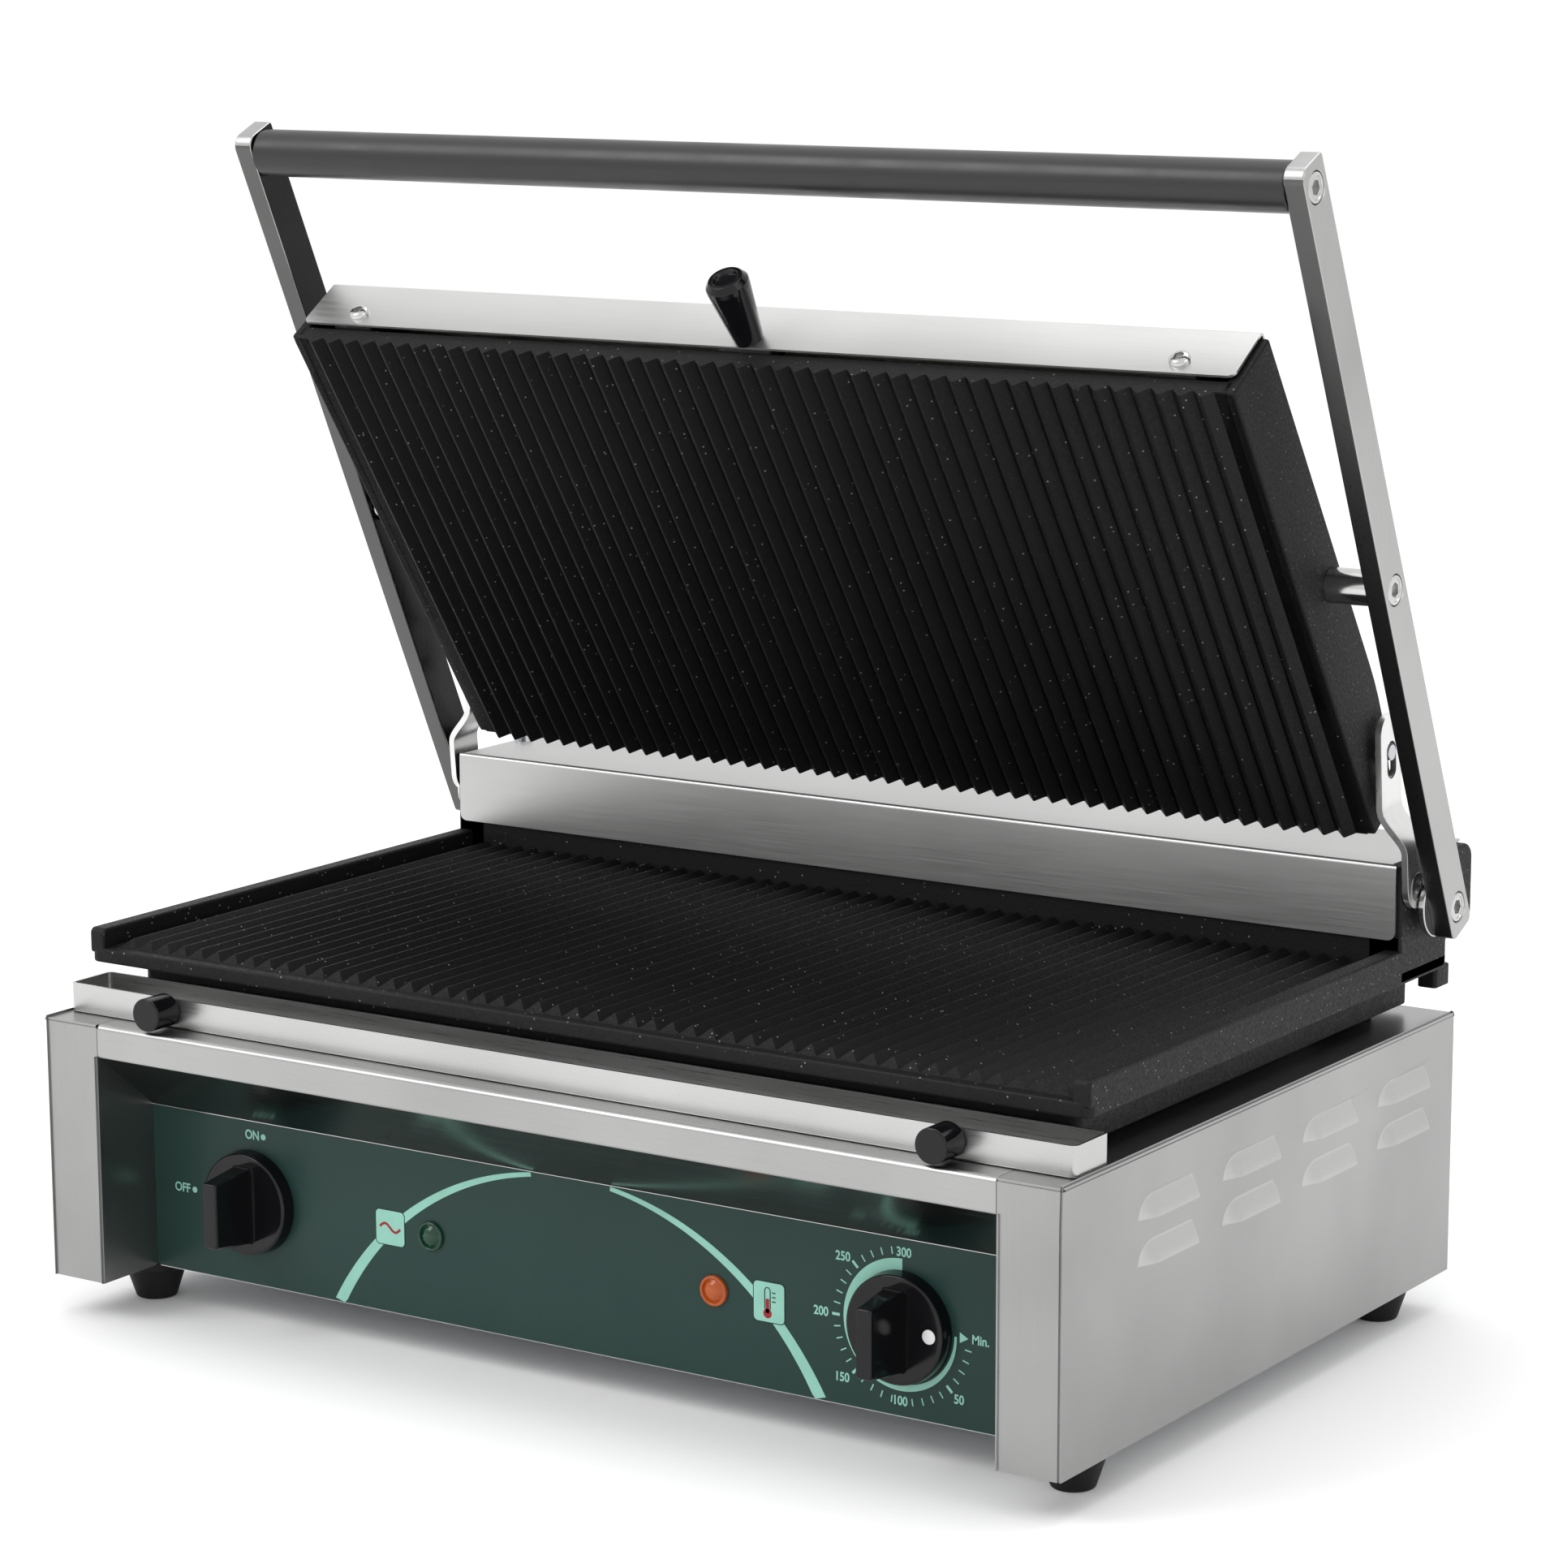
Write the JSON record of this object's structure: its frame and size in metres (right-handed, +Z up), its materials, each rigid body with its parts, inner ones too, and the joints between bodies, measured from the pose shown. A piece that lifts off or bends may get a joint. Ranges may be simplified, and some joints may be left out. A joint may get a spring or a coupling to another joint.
{
  "type": "contact grill",
  "caption": "Contact grill with ribbed cast-iron plates, a lid plate hung between two arms, stainless housing, drip tray and rotary controls.",
  "frame": {"origin": "centre of the footprint, on the surface that the feet stand on", "axes": "+Z up, -Y out of the front with the controls, +X to the right as seen from the front"},
  "size_m": [0.4616, 0.311, 0.4409],
  "materials": {
    "stainless": "fine straight brushing, satin",
    "polished_steel": "polished",
    "panel_green": "satin printed film on sheet",
    "cast_iron": "black enamelled casting, fine grain",
    "foot_rubber": "matt",
    "heater_steel": "heat-tinted",
    "insulation": "mineral fibre board",
    "copper": "drawn copper",
    "zinc_steel": "zinc plated",
    "dark_plastic": "satin black",
    "lens_green": "translucent",
    "lens_orange": "translucent",
    "ceramic": "unglazed",
    "bronze": "turned",
    "spring_steel": "oiled",
    "knob_plastic": "glossy black",
    "white_paint": "white"
  },
  "bodies": {
    "base": {"housing_shell": "stainless", "front_frame": "polished_steel", "control_panel": "panel_green", "base_plate": "stainless", "back_panel": "stainless", "feet": "foot_rubber", "feet_screws": "polished_steel", "panel_screws": "polished_steel", "lower_plate": "cast_iron", "plate_bolts": "polished_steel", "lower_heater": "heater_steel", "lower_clamps": "stainless", "lower_insulation": "insulation", "thermostat_bulb": "copper", "thermostat_body": "zinc_steel", "switch_body": "dark_plastic", "lamp_green": "lens_green", "lamp_orange": "lens_orange", "lamp_sockets": "ceramic", "terminal_block": "ceramic", "cable_gland": "dark_plastic", "feed_gland": "dark_plastic", "splash_cover": "stainless", "splash_screws": "polished_steel", "hinge_bushes": "bronze", "torsion_springs": "spring_steel", "link_screws": "polished_steel"},
    "lid_arms": {"arm_left": "stainless", "arm_right": "stainless", "hinge_shaft": "polished_steel", "arm_washers": "polished_steel", "hinge_screws": "polished_steel", "spring_collars": "polished_steel", "handle_rod": "polished_steel", "handle_grip": "dark_plastic", "handle_screws": "polished_steel"},
    "lid_plate": {"upper_plate": "cast_iron", "upper_cover": "stainless", "cover_screws": "polished_steel", "lift_knob": "knob_plastic", "lift_stud": "polished_steel", "upper_heater": "heater_steel", "upper_clamps": "stainless", "upper_insulation": "insulation", "plate_spacers": "polished_steel", "pivot_bolts": "polished_steel", "link_pins": "polished_steel"},
    "link_l": {"link_left": "stainless"},
    "link_r": {"link_right": "stainless"},
    "power_switch": {"power_knob": "knob_plastic", "power_spindle": "polished_steel"},
    "thermostat": {"thermostat_knob": "knob_plastic", "thermostat_dot": "white_paint", "thermostat_spindle": "polished_steel"},
    "tray": {"drip_tray": "stainless", "tray_knobs": "dark_plastic", "tray_screws": "polished_steel"}
  },
  "joints": [
    {"name": "lid_hinge", "type": "hinge", "parent": "base", "child": "lid_arms", "pos_m": [0, 0.1147, 0.1606], "axis": [1, 0, 0], "range_deg": [0, 62.4]},
    {"name": "plate_pivot", "type": "hinge", "parent": "lid_arms", "child": "lid_plate", "pos_m": [0, 0.05663, 0.28513], "axis": [1, 0, 0], "range_deg": [-6.6, 0.1]},
    {"name": "link_pivot_l", "type": "hinge", "parent": "base", "child": "link_l", "pos_m": [-0.2186, 0.1031, 0.169], "axis": [1, 0, 0], "range_deg": [-0.1, 91.2]},
    {"name": "link_pivot_r", "type": "hinge", "parent": "base", "child": "link_r", "pos_m": [0.2186, 0.1031, 0.169], "axis": [1, 0, 0], "range_deg": [-0.1, 91.2]},
    {"name": "power_turn", "type": "hinge", "parent": "base", "child": "power_switch", "pos_m": [-0.147, -0.12, 0.0473], "axis": [0, 1, 0], "range_deg": [0, 90]},
    {"name": "thermostat_turn", "type": "hinge", "parent": "base", "child": "thermostat", "pos_m": [0.14, -0.12, 0.0473], "axis": [0, 1, 0], "range_deg": [0, 270]},
    {"name": "tray_slide", "type": "slide", "parent": "base", "child": "tray", "axis": [0, -1, 0], "range_m": [0, 0.02]}
  ],
  "couplings": [
    {"joint": "plate_pivot", "follows": "lid_hinge", "ratio": -0.1038},
    {"joint": "link_pivot_l", "follows": "lid_hinge", "ratio": 1.4525},
    {"joint": "link_pivot_r", "follows": "lid_hinge", "ratio": 1.4525}
  ]
}
